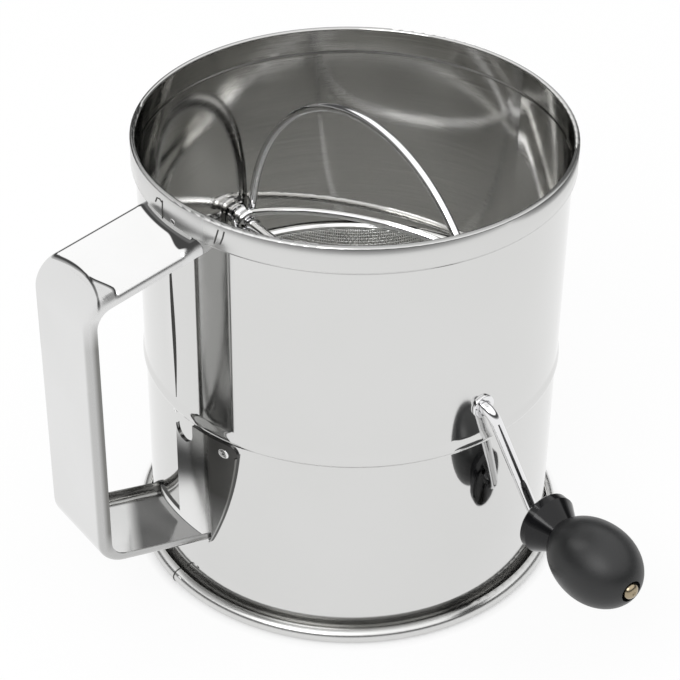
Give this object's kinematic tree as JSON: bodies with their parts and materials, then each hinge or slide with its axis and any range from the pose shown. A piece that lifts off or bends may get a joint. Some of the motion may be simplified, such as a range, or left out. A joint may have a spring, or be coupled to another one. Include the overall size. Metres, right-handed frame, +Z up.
{
  "type": "flour sifter",
  "caption": "Hand-crank flour sifter: open steel drum with a woven sieve bowl, a crank shaft with wire bows that sweep it, a strap handle and an egg-shaped black knob.",
  "frame": {"origin": "on the drum's axis, on the surface that the foot curl stands on", "axes": "+Z up along the drum's axis, +Y along the shaft away from the crank, +X away from the handle"},
  "size_m": [0.2119, 0.2311, 0.1781],
  "materials": {
    "drum_steel": "mirror polished outside, satin brushed inside",
    "mesh_steel": "plain woven wire",
    "handle_steel": "polished",
    "bright_wire": "bright plated",
    "black_gloss": "gloss",
    "black_satin": "satin",
    "rivet_metal": "pressed, slightly dull"
  },
  "bodies": {
    "drum": {"drum_shell": "drum_steel", "sieve_mesh": "mesh_steel", "sieve_hoop": "drum_steel", "handle_strap": "handle_steel", "crank_eyelet": "bright_wire", "tail_eyelet": "bright_wire"},
    "rotor": {"crank_rod": "bright_wire", "agitator_bow_top": "bright_wire", "agitator_bow_right": "bright_wire", "agitator_bow_bottom": "bright_wire", "agitator_bow_left": "bright_wire", "knob_rivet": "rivet_metal"},
    "knob": {"knob_collar": "black_gloss", "knob_grip": "black_satin"}
  },
  "joints": [
    {"name": "crank_spin", "type": "hinge", "parent": "drum", "child": "rotor", "pos_m": [0, -0.09, 0.1], "axis": [0, 1, 0], "continuous": true},
    {"name": "knob_spin", "type": "hinge", "parent": "rotor", "child": "knob", "pos_m": [0.02216, -0.13, 0.04489], "axis": [0, 1, 0], "continuous": true}
  ]
}
